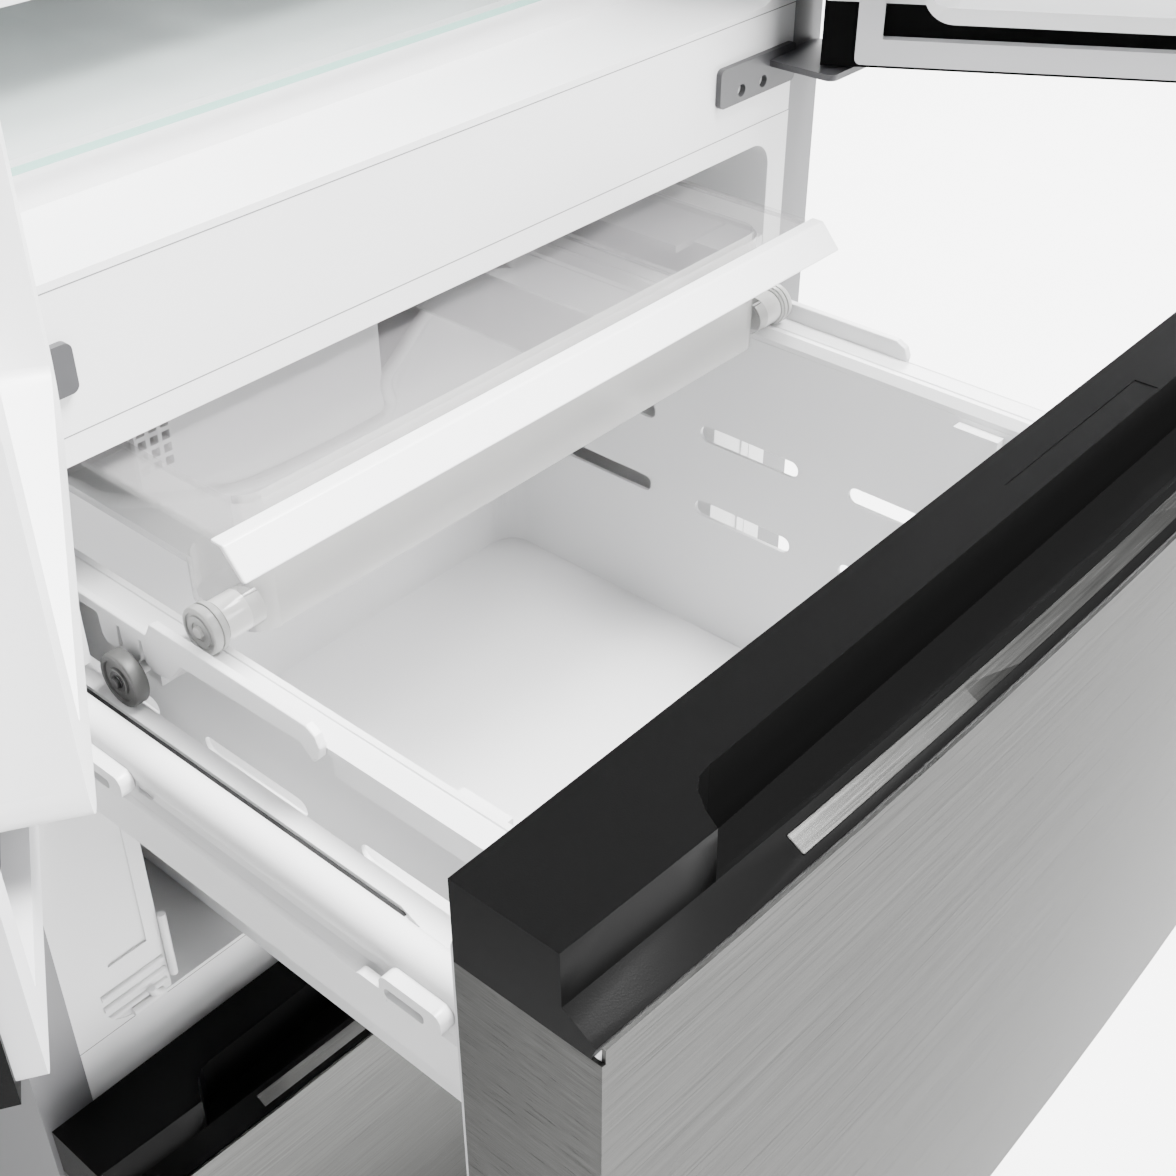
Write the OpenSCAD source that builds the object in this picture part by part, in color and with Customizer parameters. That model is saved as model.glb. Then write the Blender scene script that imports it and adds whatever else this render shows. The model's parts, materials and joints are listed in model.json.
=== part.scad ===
// Fridge freezer: two doors over two freezer drawers, the upper drawer pulled out.
// X is the width, -Y the front, Z = 0 the floor.

/* [Cabinet] */
// Width of the cabinet, of the door pair and of the drawer fronts
cab_w = 700; // [680:1:760]
// Height of the cabinet above the floor
cab_h = 1890; // [1850:1:1950]
// Depth of the cabinet behind its front plane
cab_d = 600; // [585:1:640]
// Thickness of the foamed side walls
side_wall = 51; // [46:1:56]
// Thickness of the foamed top wall
top_wall = 45; // [35:1:60]
// Thickness of the foamed back wall of the fridge
back_wall = 55; // [45:1:65]
// Thickness of the painted steel sheet
sheet = 1.2; // [0.8:0.1:1.6]
// Width of the grey steel flange round the front
flange_w = 31; // [26:1:34]
// Thickness of the white plastic liners
liner_t = 2.5; // [2:0.1:3]
// Corner radius of the cavities
cavity_r = 18; // [10:1:24]
// Height of the foamed body above the floor
body_z = 62; // [58:1:66]

/* [Front] */
// Height of the lower front's bottom edge above the floor
front_bottom = 45; // [40:1:52]
// Height of each freezer drawer front
front_h = 425; // [415:1:440]
// Gap between neighbouring fronts and doors
front_gap = 9; // [6:1:12]
// Space that the gaskets close between a front and the cabinet
seal_gap = 8; // [6:0.5:10]
// Thickness of the drawer fronts and doors at their side edges
front_t = 59.6; // [52:0.1:66]
// How far the fronts bulge out in the middle
bow = 9.2; // [4:0.1:14]
// Thickness of the steel skin of the fronts
skin = 1.5; // [1:0.1:2]
// Drop of the mullion cover's lower edge below the drawer top
mullion_drop = 35; // [30:1:40]
// Rise of the mullion cover's upper edge above the drawer top
mullion_rise = 36; // [30:1:40]
// Drop of the freezer opening below the drawer top
opening_drop = 49.7; // [44:0.1:56]

/* [Handle cap] */
// Height of the black cap at the ends of a drawer front
cap_h = 36; // [30:1:44]
// Depth of the cap's flat top
cap_top = 43.8; // [36:0.1:48]
// Depth of the lip's outer edge
lip_out = 57.3; // [52:0.1:60]
// Drop of the lip's inner edge
lip_drop = 22.3; // [16:0.1:26]
// Drop of the lip's outer edge
lip_end = 29.9; // [26:0.1:34]
// Distance of the finger scoop from the front's sides
scoop_side = 68; // [50:1:120]
// Depth of the cap's land behind the scoop
scoop_back = 27.7; // [20:0.1:32]
// Drop of the scoop's floor
scoop_drop = 33; // [28:1:34]
// Length of the silver plate on the lip
plate_l = 500; // [300:1:520]

/* [Doors] */
// Angle at which the doors stand open
door_open = 122; // [90:1:128]
// Distance of the hinge pin from the cabinet's side
pin_side = 20; // [17:0.5:24]
// Distance of the hinge pin in front of the door's inner face
pin_back = 30; // [27:0.5:34]
// Diameter of the hinge pins
pin_d = 10; // [8:0.5:12]
// Depth of the raised dyke on the door's inner side
dyke = 28; // [20:1:34]
// Depth of the door bins
bin_d = 84; // [70:1:88]
// Height of the door bins
bin_h = 105; // [80:1:120]

/* [Drawers] */
// How far the upper drawer stands open
upper_pull = 343; // [300:1:380]
// Half width of the basket's inner rim
rim_half = 220.9; // [215:0.1:222]
// Half width of the basket's flange
lip_half = 239.3; // [236:0.1:240]
// Half width between the basket's side walls, under its rim
wall_half = 216.5; // [208:0.5:217]
// Half width of the basket's floor
floor_half = 205; // [190:1:207]
// Drop of the basket's rim below the drawer top
rim_drop = 137.7; // [132:0.1:140]
// Drop of the basket's floor below the drawer top
basket_drop = 388; // [370:1:390]
// Depth of the upper basket
basket_d = 508; // [480:1:512]
// Wall of the baskets
basket_t = 2.5; // [2:0.1:3]
// Length of the side slots
slot_l = 81.5; // [60:0.5:90]
// Height of the side slots
slot_h = 12; // [8:1:14]
// Distance from slot to slot
slot_pitch = 121.5; // [110:0.5:135]
// Height of the flange's outer face
skirt = 15; // [10:0.5:16]
// How far the flange rises over the rim in its rear half
flange_rise = 11.7; // [8:0.1:13]
// Diameter of the basket's rear wheels
wheel_d = 30; // [24:0.5:31]

/* [Rails] */
// Length of the upper drawer's rail members
rail_l = 490; // [470:1:495]
// Length of the lower drawer's rail members
lower_rail_l = 365; // [350:1:366]
// Half distance between the outer faces of the rail covers
cover_out = 292; // [286:0.5:293]
// Width of a rail cover
cover_w = 24; // [24:0.5:26]
// Drop of the rail covers' ridge below the drawer top
cover_top = 161.5; // [156:0.5:165]
// Height of a rail cover
cover_h = 55.5; // [50:0.5:57]

/* [Inner tray] */
// Half width of the tray's lid
lid_half = 229.6; // [215:0.1:232]
// Depth of the tray
tray_d = 475; // [440:1:478]
// How far the tray's front stands out of the cabinet
tray_out = 103; // [80:1:120]
// Drop of the lid below the drawer top
lid_drop = 61; // [58:0.5:64]
// Drop of the tray's front well
well_drop = 141; // [137:0.5:145]
// Drop of the tray's floor below the drawer top
tray_drop = 117; // [110:0.5:118]
// Diameter of the tray's rollers
roller_d = 26; // [22:0.5:27]

/* [Shelves] */
// Thickness of the glass shelves
glass_t = 4; // [3:0.5:6]
// Height of the lowest glass above the drawer top
glass_low = 62; // [56:1:70]
// Distance of the lowest glass behind the front plane
glass_front = 66; // [62:1:80]
// Distance of the other shelves behind the front plane
shelf_front = 124; // [120:1:150]
// Height of the crisper drawers
crisper_h = 180; // [150:1:190]

/* [Hidden] */

// Finishes
c_side = [0.44, 0.44, 0.45];
c_white = [0.94, 0.94, 0.95];
c_liner = [0.9, 0.9, 0.91];
c_black = [0.13, 0.13, 0.13];
c_steel = [0.64, 0.64, 0.63];
c_zinc = [0.72, 0.73, 0.75];
c_dark = [0.3, 0.3, 0.31];
c_seal = [0.62, 0.62, 0.63];
c_foam = [0.93, 0.86, 0.62];
c_glass = [0.75, 0.9, 0.86, 0.5];
c_smoke = [0.6, 0.58, 0.6, 0.5];
c_tray = [0.82, 0.82, 0.82, 0.7];
c_copper = [0.72, 0.45, 0.3];

eps = 0.01;
over = 1;
fine = 48;
clear = 0.3;
slide_gap = 0.5;

// Heights of the fronts, doors and openings
lower_top = front_bottom + front_h;
upper_top = lower_top + front_gap + front_h;
door_z = upper_top + front_gap;
door_h = cab_h - 2 - door_z;
mullion_low = upper_top - mullion_drop;
mullion_high = upper_top + mullion_rise;
upper_ceiling = upper_top - opening_drop;
divider_high = lower_top + front_gap + 21;
divider_low = lower_top - mullion_drop;
upper_floor = divider_high + liner_t;
lower_ceiling = lower_top - opening_drop;
lower_floor = body_z + 38;
fridge_floor = mullion_high + liner_t + 1.5;
fridge_ceiling = cab_h - top_wall;

// Widths and depths of the cavities
half = cab_w / 2;
open_half = half - side_wall;
land_half = half - flange_w;
cavity_d = cab_d - back_wall;
lower_depth = 390;
bay_y = lower_depth + liner_t + 38;
bay_top = 330;
evap_recess = 30;

// The fronts' bow, as circles about one centre far behind the cabinet
bow_k = (pow(half, 2) - pow(bow, 2)) / (2 * bow);
function bow_r(d) = sqrt(pow(half, 2) + pow(bow_k + d, 2));

// The front plane's place: the standing object is centred on its footprint
front_reach = upper_pull + seal_gap + bow_r(front_t) - bow_k;
front_y = (front_reach - cab_d) / 2;

// Doors, with the hinge pin at their own origin
pin_x = half - pin_side;
pin_y = -seal_gap - pin_back;
free_edge = pin_x - 1.5;
gasket_w = 16;
gasket_t = seal_gap - clear;
dyke_x = pin_x - open_half + 8;
door_cap_h = 40;
hinge_t = 5;
flap_w = 48;
flap_t = 20;
flap_pivot = pin_x - flap_w / 2 - 6;
flap_y = pin_back + seal_gap + 9;
flap_pin = 3;

// Baskets and rails
rail_y = 12;
inner_t = 14;
basket_y = inner_t + 0.5;
lower_basket_drop = lower_top - lower_floor - 8;
lower_basket_d = 352;
raised_y = 205;
flange_t = 5;
cover_in = cover_out - cover_w;
ridge_d = 20;
rail_mid = cover_in + ridge_d / 2;
ledge_drop = cover_top + 16.5;
ledge_t = 3;
ledge_w = 10;
ledge_x = cover_in - 19;
ledge_front = 125;
rail_half = 7;
rail_wall = 1.2;
channel_half = rail_half + clear;
fixed_half = channel_half - slide_gap;
middle_half = fixed_half - rail_wall - slide_gap;
moving_top = 55;
channel_drop = cover_top + 5.5;
rail_base = channel_drop + moving_top;
wheel_x = lip_half + flange_t + 8.2;
wheel_w = 9;
wheel_y = upper_pull + seal_gap - 17;
wheel_drop = ledge_drop - clear - wheel_d / 2;
axle_d = 6;
tower_in = 255;
tower_d = 30;
tube_y = -1.7;

// Inner tray
well_y = 36.5;
well_d = 60;
track_drop = rim_drop - 19;
track_t = 5;
roller_w = 10;
roller_x = rim_half + 7.6;
roller_drop = rim_drop - clear - roller_d / 2;
roller_y = -tray_out + well_y + 7.5;
tray_half = lid_half - 22.6;
tray_t = 2.2;

// Crispers
crisper_front = shelf_front + 2;
crisper_top = upper_top + 306;
fridge_h = fridge_ceiling - fridge_floor;
shelf_heights = [for (k = [0, 0.35, 0.64])
    crisper_top + 12 + k * (fridge_ceiling - crisper_top - 12)];
shelf_depth = cavity_d - shelf_front - 25;

// Distance that reaches past the front of any door or drawer
far = 200;

// Power inlet's centre
inlet_z = body_z + 36;
inlet_half_w = 24;
inlet_half_h = 14;

// Evaporator
evap_half = 206;
evap_low = upper_floor + 60;
evap_high = upper_ceiling - 90;

// Feet and rollers
foot_x = half - 45;
foot_y = 45;
foot_d = 40;
castor_d = 40;
castor_w = 22;
castor_y = cab_d - 45;
castor_pin = 8;

// Basic shapes
module span(x0, x1, y0, y1, z0, z1) {
    translate([x0, y0, z0]) cube([x1 - x0, y1 - y0, z1 - z0]);
}

module rrect(w, h, r) {
    square([w - 2 * r, h], center = true);
    square([w, h - 2 * r], center = true);
    for (x = [-1, 1], y = [-1, 1])
        translate([x * (w / 2 - r), y * (h / 2 - r)]) circle(r = r, $fn = fine);
}

// Box along Y whose XZ section has round corners
module bar_y(x0, x1, y0, y1, z0, z1, r) {
    translate([(x0 + x1) / 2, y1, (z0 + z1) / 2])
        rotate([90, 0, 0]) linear_extrude(y1 - y0) rrect(x1 - x0, z1 - z0, r);
}

// Box along X whose YZ section has round corners
module bar_x(x0, x1, y0, y1, z0, z1, r) {
    translate([x0, (y0 + y1) / 2, (z0 + z1) / 2])
        rotate([90, 0, 90]) linear_extrude(x1 - x0) rrect(y1 - y0, z1 - z0, r);
}

// Box along Z whose XY section has round corners
module bar_z(x0, x1, y0, y1, z0, z1, r) {
    translate([(x0 + x1) / 2, (y0 + y1) / 2, z0])
        linear_extrude(z1 - z0) rrect(x1 - x0, y1 - y0, r);
}

module rod_x(x0, x1, y, z, d) {
    translate([x0, y, z]) rotate([0, 90, 0]) cylinder(d = d, h = x1 - x0, $fn = fine);
}

module rod_y(x, y0, y1, z, d) {
    translate([x, y1, z]) rotate([90, 0, 0]) cylinder(d = d, h = y1 - y0, $fn = fine);
}

module rod_z(x, y, z0, z1, d) {
    translate([x, y, z0]) cylinder(d = d, h = z1 - z0, $fn = fine);
}

// The same piece on both sides
module both() {
    children();
    mirror([1, 0, 0]) children();
}

// Rectangular ring in the XZ plane
module ring_y(x0, x1, z0, z1, y0, y1, w, r) {
    difference() {
        bar_y(x0, x1, y0, y1, z0, z1, r);
        bar_y(x0 + w, x1 - w, y0 - over, y1 + over, z0 + w, z1 - w, max(r - w, 1));
    }
}

// Places
module at_front() {
    translate([0, front_y, 0]) children();
}

module at_upper() {
    translate([0, front_y - upper_pull - seal_gap, upper_top]) children();
}

module at_lower() {
    translate([0, front_y - seal_gap, lower_top]) children();
}

module at_door(side) {
    mirror([side > 0 ? 1 : 0, 0, 0])
        translate([-pin_x, front_y + pin_y, 0]) rotate([0, 0, -door_open]) children();
}

module at_tray() {
    translate([0, front_y - tray_out, upper_top]) children();
}

// Cabinet
module cabinet_shell() {
    color(c_side) at_front() {
        difference() {
            span(-half, half, 0, cab_d - sheet, body_z, cab_h);
            span(-half + sheet, half - sheet, -over, cab_d, body_z - over, cab_h - sheet);
        }
        both() span(land_half, half - eps, 0, sheet, body_z, cab_h - eps);
        span(-half + eps, half - eps, 0, sheet, cab_h - 20, cab_h - eps);
    }
}

module back_panels() {
    color(c_side) at_front() {
        span(-half, half, cab_d - sheet, cab_d, bay_top + 2, cab_h);
        difference() {
            span(-half, half, cab_d - sheet, cab_d, body_z, bay_top);
            for (i = [0:8], s = [-1, 1])
                bar_y(s * 150 - 90, s * 150 + 90, cab_d - 2 * sheet, cab_d + over,
                    120 + i * 18, 127 + i * 18, 3);
            bar_y(-inlet_half_w, inlet_half_w, cab_d - 2 * sheet, cab_d + over,
                inlet_z - inlet_half_h, inlet_z + inlet_half_h, 2);
        }
    }
}

module insulation() {
    color(c_foam) at_front() difference() {
        span(-half + sheet, half - sheet, liner_t, cab_d - sheet, body_z, cab_h - sheet);
        cavity(fridge_floor, fridge_ceiling, cavity_d, liner_t);
        cavity(upper_floor, upper_ceiling, cavity_d + evap_recess, liner_t);
        cavity(lower_floor, lower_ceiling, lower_depth, liner_t);
        span(-half, half, bay_y, cab_d + over, body_z - over, bay_top);
    }
}

// A cavity's space, grown by g
module cavity(z0, z1, depth, g) {
    bar_y(-open_half - g, open_half + g, -over, depth + g, z0 - g, z1 + g, cavity_r + g);
}

module liner(z0, z1, depth, flange_z0, flange_z1) {
    difference() {
        union() {
            difference() {
                cavity(z0, z1, depth, liner_t);
                span(-half, half, -2 * over, 0, z0 - 50, z1 + 50);
            }
            span(-land_half, land_half, 0, liner_t, flange_z0, flange_z1);
        }
        cavity(z0, z1, depth, 0);
    }
}

module fridge_liner() {
    color(c_white) at_front() {
        liner(fridge_floor, fridge_ceiling, cavity_d, mullion_high, cab_h - 20);
        // Ribs that carry the glass shelves
        both() for (z = shelf_heights)
            span(open_half - 8, open_half + 1, shelf_front + 5, cavity_d - 20, z - 12, z - 6);
        for (y = [glass_front + 8, cavity_d - 80])
            span(-open_half + 12, open_half - 12, y, y + 6, fridge_floor - 1,
                upper_top + glass_low - 6);
    }
}

module upper_freezer_liner() {
    color(c_white) at_front() {
        liner(upper_floor, upper_ceiling, cavity_d + evap_recess, divider_high, mullion_low);
        // Tracks that carry the rear of the inner tray
        both() span(lip_half + flange_t + 2.5, open_half + 1, tower_d + 5, cavity_d - cavity_r - 5,
            upper_top - track_drop - track_t, upper_top - track_drop);
    }
}

module lower_freezer_liner() {
    color(c_white) at_front()
        liner(lower_floor, lower_ceiling, lower_depth, body_z, divider_low);
}

module mullion_covers() {
    color(c_white) at_front() {
        span(-land_half, land_half, 0, liner_t, mullion_low + 0.4, mullion_high - 0.4);
        span(-land_half, land_half, 0, liner_t, divider_low + 0.4, divider_high - 0.4);
    }
}

module base_frame() {
    color(c_dark) at_front() {
        difference() {
            union() {
                span(-half + sheet, half - sheet, 8, cab_d - sheet, body_z - 2, body_z);
                both() span(half - 4, half - 2, 8, cab_d - 8, body_z - 28, body_z - eps);
                span(-half + 2, half - 2, 12, 14, body_z - 28, body_z - eps);
                // Bosses for the levelling feet
                both() rod_z(foot_x, foot_y, body_z - 26, body_z - eps, 24);
                // Ears that hold the rear rollers
                both() for (s = [-1, 1])
                    hull() {
                        rod_x(foot_x + s * (castor_w / 2 + 2) - 1, foot_x + s * (castor_w / 2 + 2) + 1,
                            castor_y, castor_d / 2, 18);
                        rod_x(foot_x + s * (castor_w / 2 + 2) - 1, foot_x + s * (castor_w / 2 + 2) + 1,
                            castor_y, body_z - 9, 18);
                    }
            }
            both() rod_z(foot_x, foot_y, body_z - 40, body_z + over, 10.1);
        }
        both() rod_x(foot_x - castor_w / 2 - 2.5, foot_x + castor_w / 2 + 2.5, castor_y,
            castor_d / 2, castor_pin);
        // Walls of the machine room
        span(-half + sheet, half - sheet, bay_y, bay_y + 1.5, body_z - 0.5, bay_top);
        span(-half + sheet, half - sheet, bay_y, cab_d - sheet, bay_top - 1.5, bay_top);
    }
}

module toe_grille() {
    color(c_dark) at_front() difference() {
        union() {
            bar_z(-half + 8, half - 8, 4, 11.5, 8, front_bottom - 4, 3);
            both() span(half - 90, half - 70, 10, 12, 14, body_z - 3);
        }
        for (i = [-9:9])
            bar_y(i * 32 - 11, i * 32 + 11, -over, 14, 17, 22, 2.4);
        for (i = [-9:9])
            bar_y(i * 32 - 11, i * 32 + 11, -over, 14, 28, 33, 2.4);
    }
}

module levelling_feet() {
    color(c_black) at_front() both() {
        rod_z(foot_x, foot_y, 0, 8, foot_d);
        translate([foot_x, foot_y, 8 - eps]) cylinder(d1 = 30, d2 = 16, h = 7, $fn = fine);
        rod_z(foot_x, foot_y, 14, body_z - 4, 9.8);
    }
}

module rear_rollers() {
    color(c_dark) at_front() both() difference() {
        union() {
            rod_x(foot_x - castor_w / 2 + 1, foot_x + castor_w / 2 - 1, castor_y, castor_d / 2,
                castor_d);
            rod_x(foot_x - castor_w / 2 + 0.4, foot_x + castor_w / 2 - 0.4, castor_y,
                castor_d / 2, 16);
        }
        rod_x(foot_x - castor_w, foot_x + castor_w, castor_y, castor_d / 2, castor_pin + 0.16);
    }
}

// Machine room
comp_x = 150;
comp_y = bay_y + 88;
fan_y = comp_y;

module compressor() {
    color(c_black) at_front() {
        translate([comp_x, comp_y, body_z + 12]) rotate_extrude($fn = fine)
            polygon([[0, 0], [66, 0], [74, 14], [76, 70], [70, 120], [48, 150], [0, 158]]);
        for (x = [-1, 1], y = [-1, 1])
            rod_z(comp_x + x * 52, comp_y + y * 52, body_z, body_z + 13, 22);
        bar_z(comp_x - 104, comp_x - 72, comp_y - 26, comp_y + 26, body_z + 50, body_z + 110, 5);
        rod_z(comp_x, comp_y, body_z + 165, body_z + 190, 9);
    }
}

module condenser_unit() {
    color(c_dark) at_front() {
        // Serpentine tube block and its fins
        for (i = [0:3]) {
            span(-290, -130, comp_y - 50 + i * 30, comp_y - 44 + i * 30, body_z + 10, body_z + 160);
        }
        for (i = [0:5])
            rod_y(-280 + i * 28, comp_y - 60, comp_y + 56, body_z + 30 + (i % 2) * 70, 6);
        span(-290, -130, comp_y - 56, comp_y + 52, body_z, body_z + 12);
        // Fan shroud with its motor
        difference() {
            span(-95, -78, comp_y - 66, comp_y + 66, body_z, body_z + 136);
            rod_x(-97, -76, fan_y, body_z + 70, 118);
        }
        rod_x(-74, -50, fan_y, body_z + 70, 44);
        rod_x(-92, -60, fan_y, body_z + 70, 6);
        for (s = [-1, 1])
            span(-78.5, -72, fan_y - 4, fan_y + 4, body_z + 70 + min(s * 18, s * 66),
                body_z + 70 + max(s * 18, s * 66));
    }
}

module fan_blades() {
    color(c_dark) at_front() difference() {
        union() {
            rod_x(-92, -80, fan_y, body_z + 70, 30);
            for (i = [0:4])
                translate([-86, fan_y, body_z + 70]) rotate([i * 72, 0, 0])
                    translate([0, 0, 12]) rotate([0, 0, 24])
                        translate([-1, -12, 0]) cube([2, 24, 42]);
        }
        rod_x(-96, -70, fan_y, body_z + 70, 6.12);
    }
}

module drip_tray() {
    color(c_dark) at_front() difference() {
        bar_z(comp_x - 110, comp_x + 110, comp_y - 75, comp_y + 70, body_z + 190, body_z + 222, 8);
        bar_z(comp_x - 108, comp_x + 108, comp_y - 73, comp_y + 68, body_z + 192, body_z + 230, 6);
    }
}

module power_inlet() {
    color(c_black) at_front() difference() {
        union() {
            bar_y(-inlet_half_w + clear, inlet_half_w - clear, cab_d - 30, cab_d - 2,
                inlet_z - inlet_half_h + clear, inlet_z + inlet_half_h - clear, 2);
            span(-18, 18, cab_d - 30, cab_d - 12, body_z, inlet_z - 8);
        }
        bar_y(-13, 13, cab_d - 20, cab_d + over, inlet_z - 10, inlet_z + 10, 3);
    }
}

module evaporator() {
    color(c_zinc) at_front() {
        for (i = [0:27])
            span(-evap_half + 10 + i * 14.4, -evap_half + 11.4 + i * 14.4, cavity_d - 12,
                cavity_d + 24, evap_low, evap_high);
        for (i = [0:5])
            rod_x(-evap_half - 9, evap_half + 9, cavity_d + 6,
                evap_low + 15 + i * (evap_high - evap_low - 30) / 5, 8);
        both() span(evap_half - 6, evap_half, cavity_d - 12, cavity_d + evap_recess, evap_low,
            evap_high);
    }
}

module duct_cover() {
    color(c_white) at_front() difference() {
        bar_y(-open_half, open_half, cavity_d - 22, cavity_d - 19, upper_floor, upper_ceiling,
            cavity_r);
        for (i = [0:9], j = [0:3])
            span(-150 + i * 12, -142 + i * 12, cavity_d - 24, cavity_d - 15,
                upper_ceiling - 80 + j * 12, upper_ceiling - 72 + j * 12);
        for (i = [0:5])
            bar_y(-180 + i * 62, -140 + i * 62, cavity_d - 24, cavity_d - 15,
                upper_floor + 20, upper_floor + 30, 4);
    }
}

// Shelves
module glass_shelves() {
    color(c_glass) at_front() {
        bar_z(-open_half + 3, open_half - 3, glass_front, cavity_d - 30,
            upper_top + glass_low - 1, upper_top + glass_low + glass_t - 1, 4);
        for (z = shelf_heights)
            bar_z(-open_half + 12, open_half - 12, shelf_front + 6, shelf_front + shelf_depth,
                z, z + glass_t, 4);
    }
}

module shelf_trims() {
    color(c_white) at_front() {
        // Supports under the lowest glass
        for (y = [glass_front + 4, cavity_d - 84])
            span(-open_half + 6, open_half - 6, y, y + 14,
                upper_top + glass_low - 6, upper_top + glass_low - 1);
        for (z = shelf_heights) {
            difference() {
                bar_x(-open_half + 4, open_half - 4, shelf_front, shelf_front + 12, z - 6, z + 7, 3);
                span(-open_half + 11.9, open_half - 11.9, shelf_front + 5.9, shelf_front + 40,
                    z - 0.1, z + glass_t + 0.1);
            }
            both() span(open_half - 12, open_half - 4, shelf_front + 6,
                shelf_front + shelf_depth, z - 6, z + 7);
            both() span(open_half - 24, open_half - 4, shelf_front + 6, shelf_front + shelf_depth,
                z - 6, z - 0.05);
            span(-open_half + 4, open_half - 4, shelf_front + shelf_depth,
                shelf_front + shelf_depth + 4, z - 6, z + 7);
        }
        // Runners for the crispers, hung under the second shelf
        both() {
            span(open_half - 13, open_half - 9, crisper_front + 6,
                shelf_front + shelf_depth - 10, crisper_top - 17, crisper_top + 6.1);
            span(open_half - 23, open_half - 9, crisper_front + 6,
                shelf_front + shelf_depth - 10, crisper_top - 17, crisper_top - 14);
        }
        span(-2, 2, crisper_front + 6, shelf_front + shelf_depth - 10, crisper_top - 17,
            crisper_top + 6.1);
        span(-12, 12, crisper_front + 6, shelf_front + shelf_depth - 10, crisper_top - 17,
            crisper_top - 14);
        span(-12, 12, crisper_front + 6, shelf_front + shelf_depth, crisper_top + 5.9,
            crisper_top + 11.95);
    }
}

module crisper(side) {
    x0 = side < 0 ? -open_half + 14 : 3;
    x1 = side < 0 ? -3 : open_half - 14;
    z1 = crisper_top - 9;
    z0 = z1 - crisper_h;
    y1 = shelf_front + shelf_depth - 30;
    difference() {
        union() {
            bar_z(x0 + 10, x1 - 10, crisper_front + 4, y1, z0, z1, 10);
            span(x0, x1, crisper_front, crisper_front + 5, z0 - 2, z1);
            span(x0, x1, crisper_front + 4, y1, crisper_top - 14 + clear, z1);
        }
        bar_z(x0 + 13, x1 - 13, crisper_front + 7, y1 - 3, z0 + 3, z1 + over, 8);
        bar_y((x0 + x1) / 2 - 60, (x0 + x1) / 2 + 60, crisper_front - over, crisper_front + 12,
            z1 - 40, z1 - 16, 10);
    }
}

module crisper_left() {
    color(c_tray) at_front() crisper(-1);
}

module crisper_right() {
    color(c_tray) at_front() crisper(1);
}

// Hinges
module door_hinges() {
    color(c_dark) at_front() both() {
        // Top brackets
        span(pin_x - 24, half - 6, pin_y - 14, 90, cab_h, cab_h + hinge_t);
        bar_z(pin_x - 26, half - 4, pin_y - 12, 96, cab_h + hinge_t - eps, cab_h + 16, 8);
        rod_z(pin_x, pin_y, door_z + door_h - 24, cab_h + 2, pin_d);
        // Plates on the mullion and their steps under the doors
        difference() {
            union() {
                bar_y(half - 113, half - 33, -4, 0, upper_top - 13, door_z + 3, 4);
                bar_z(half - 62, half - 4, pin_y - 14, 0, upper_top + 2.5, upper_top + 6.5, 6);
            }
            for (x = [91, 68])
                rod_y(half - x, -8, 2, upper_top - 5.5, 8);
        }
        rod_z(pin_x, pin_y, upper_top + 6, door_z + 22, pin_d);
    }
}

// Doors, drawn for the left door with the pin at the origin, closed
module door_slab(z0, z1, shrink) {
    // Circle centre of the bow, seen from the pin
    cx = pin_x;
    cy = pin_back + bow_k;
    intersection() {
        translate([-pin_side + 1 + shrink, pin_back - front_t - bow - 5, z0])
            cube([pin_side + free_edge - 1 - 2 * shrink, front_t + bow + 5, z1 - z0]);
        translate([cx, cy, z0 - over])
            cylinder(r = bow_r(front_t) - shrink, h = z1 - z0 + 2 * over, $fn = 1440);
    }
}

module door_panel() {
    difference() {
        door_slab(door_z + door_cap_h, door_z + door_h, 0);
        translate([0, over, 0])
            door_slab(door_z + door_cap_h - over, door_z + door_h - skin, skin);
        translate([0, -skin, 0]) door_slab_back();
        rod_z(0, 0, door_z + door_h - 26, door_z + door_h + over, pin_d + 0.2);
    }
}

// Takes away the panel's back wall, where the inner liner closes the door
module door_slab_back() {
    translate([-pin_side + 1 + skin, pin_back - 6, door_z + door_cap_h - over])
        cube([pin_side + free_edge - 1 - 2 * skin, 12, door_h - door_cap_h - skin + over]);
}

module door_liner() {
    z0 = door_z + door_cap_h;
    z1 = door_z + door_h;
    difference() {
        union() {
            // Foam-filled body inside the skin
            intersection() {
                translate([0, over, 0]) door_slab(z0, z1 - skin, skin);
                translate([-pin_side, -far, z0]) cube([pin_side + free_edge + 20, far + pin_back,
                    door_h]);
            }
            // Raised dyke round the inner side
            difference() {
                bar_y(dyke_x, free_edge - 46, pin_back - eps, pin_back + dyke,
                    fridge_floor + 6, fridge_ceiling - 8, 20);
                bar_y(dyke_x + 22, free_edge - 68, pin_back - over, pin_back + dyke + over,
                    fridge_floor + 28, fridge_ceiling - 30, 4);
            }
        }
        rod_z(0, 0, z1 - 26, z1 + over, pin_d + 0.2);
    }
}

module door_gasket() {
    difference() {
        ring_y(2, free_edge - 2, door_z + 4, door_z + door_h - 8, pin_back, pin_back + gasket_t,
            gasket_w, 4);
    }
}

module door_cap() {
    difference() {
        union() {
            door_slab(door_z, door_z + door_cap_h, 0);
        }
        // Finger recess along the bottom edge
        translate([40, pin_back - front_t - bow - 8, door_z - over])
            cube([free_edge - 80, 14 + bow, 22]);
        rod_z(0, 0, door_z - over, door_z + 24, pin_d + 0.2);
    }
}

module door_bins(heights) {
    for (z = heights) difference() {
        union() {
            bar_z(dyke_x + 22.3, free_edge - 68.3, pin_back + 0.3, pin_back + bin_d - 4, z,
                z + bin_h, 10);
            bar_z(dyke_x + 4, free_edge - 50, pin_back + dyke + 0.3, pin_back + bin_d, z,
                z + bin_h, 14);
        }
        bar_z(dyke_x + 25, free_edge - 71, pin_back + 3, pin_back + bin_d - 6, z + 3,
            z + bin_h + over, 8);
        bar_z(dyke_x + 7, free_edge - 53, pin_back + dyke + 3, pin_back + bin_d - 3, z + 3,
            z + bin_h + over, 11);
    }
}

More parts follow.
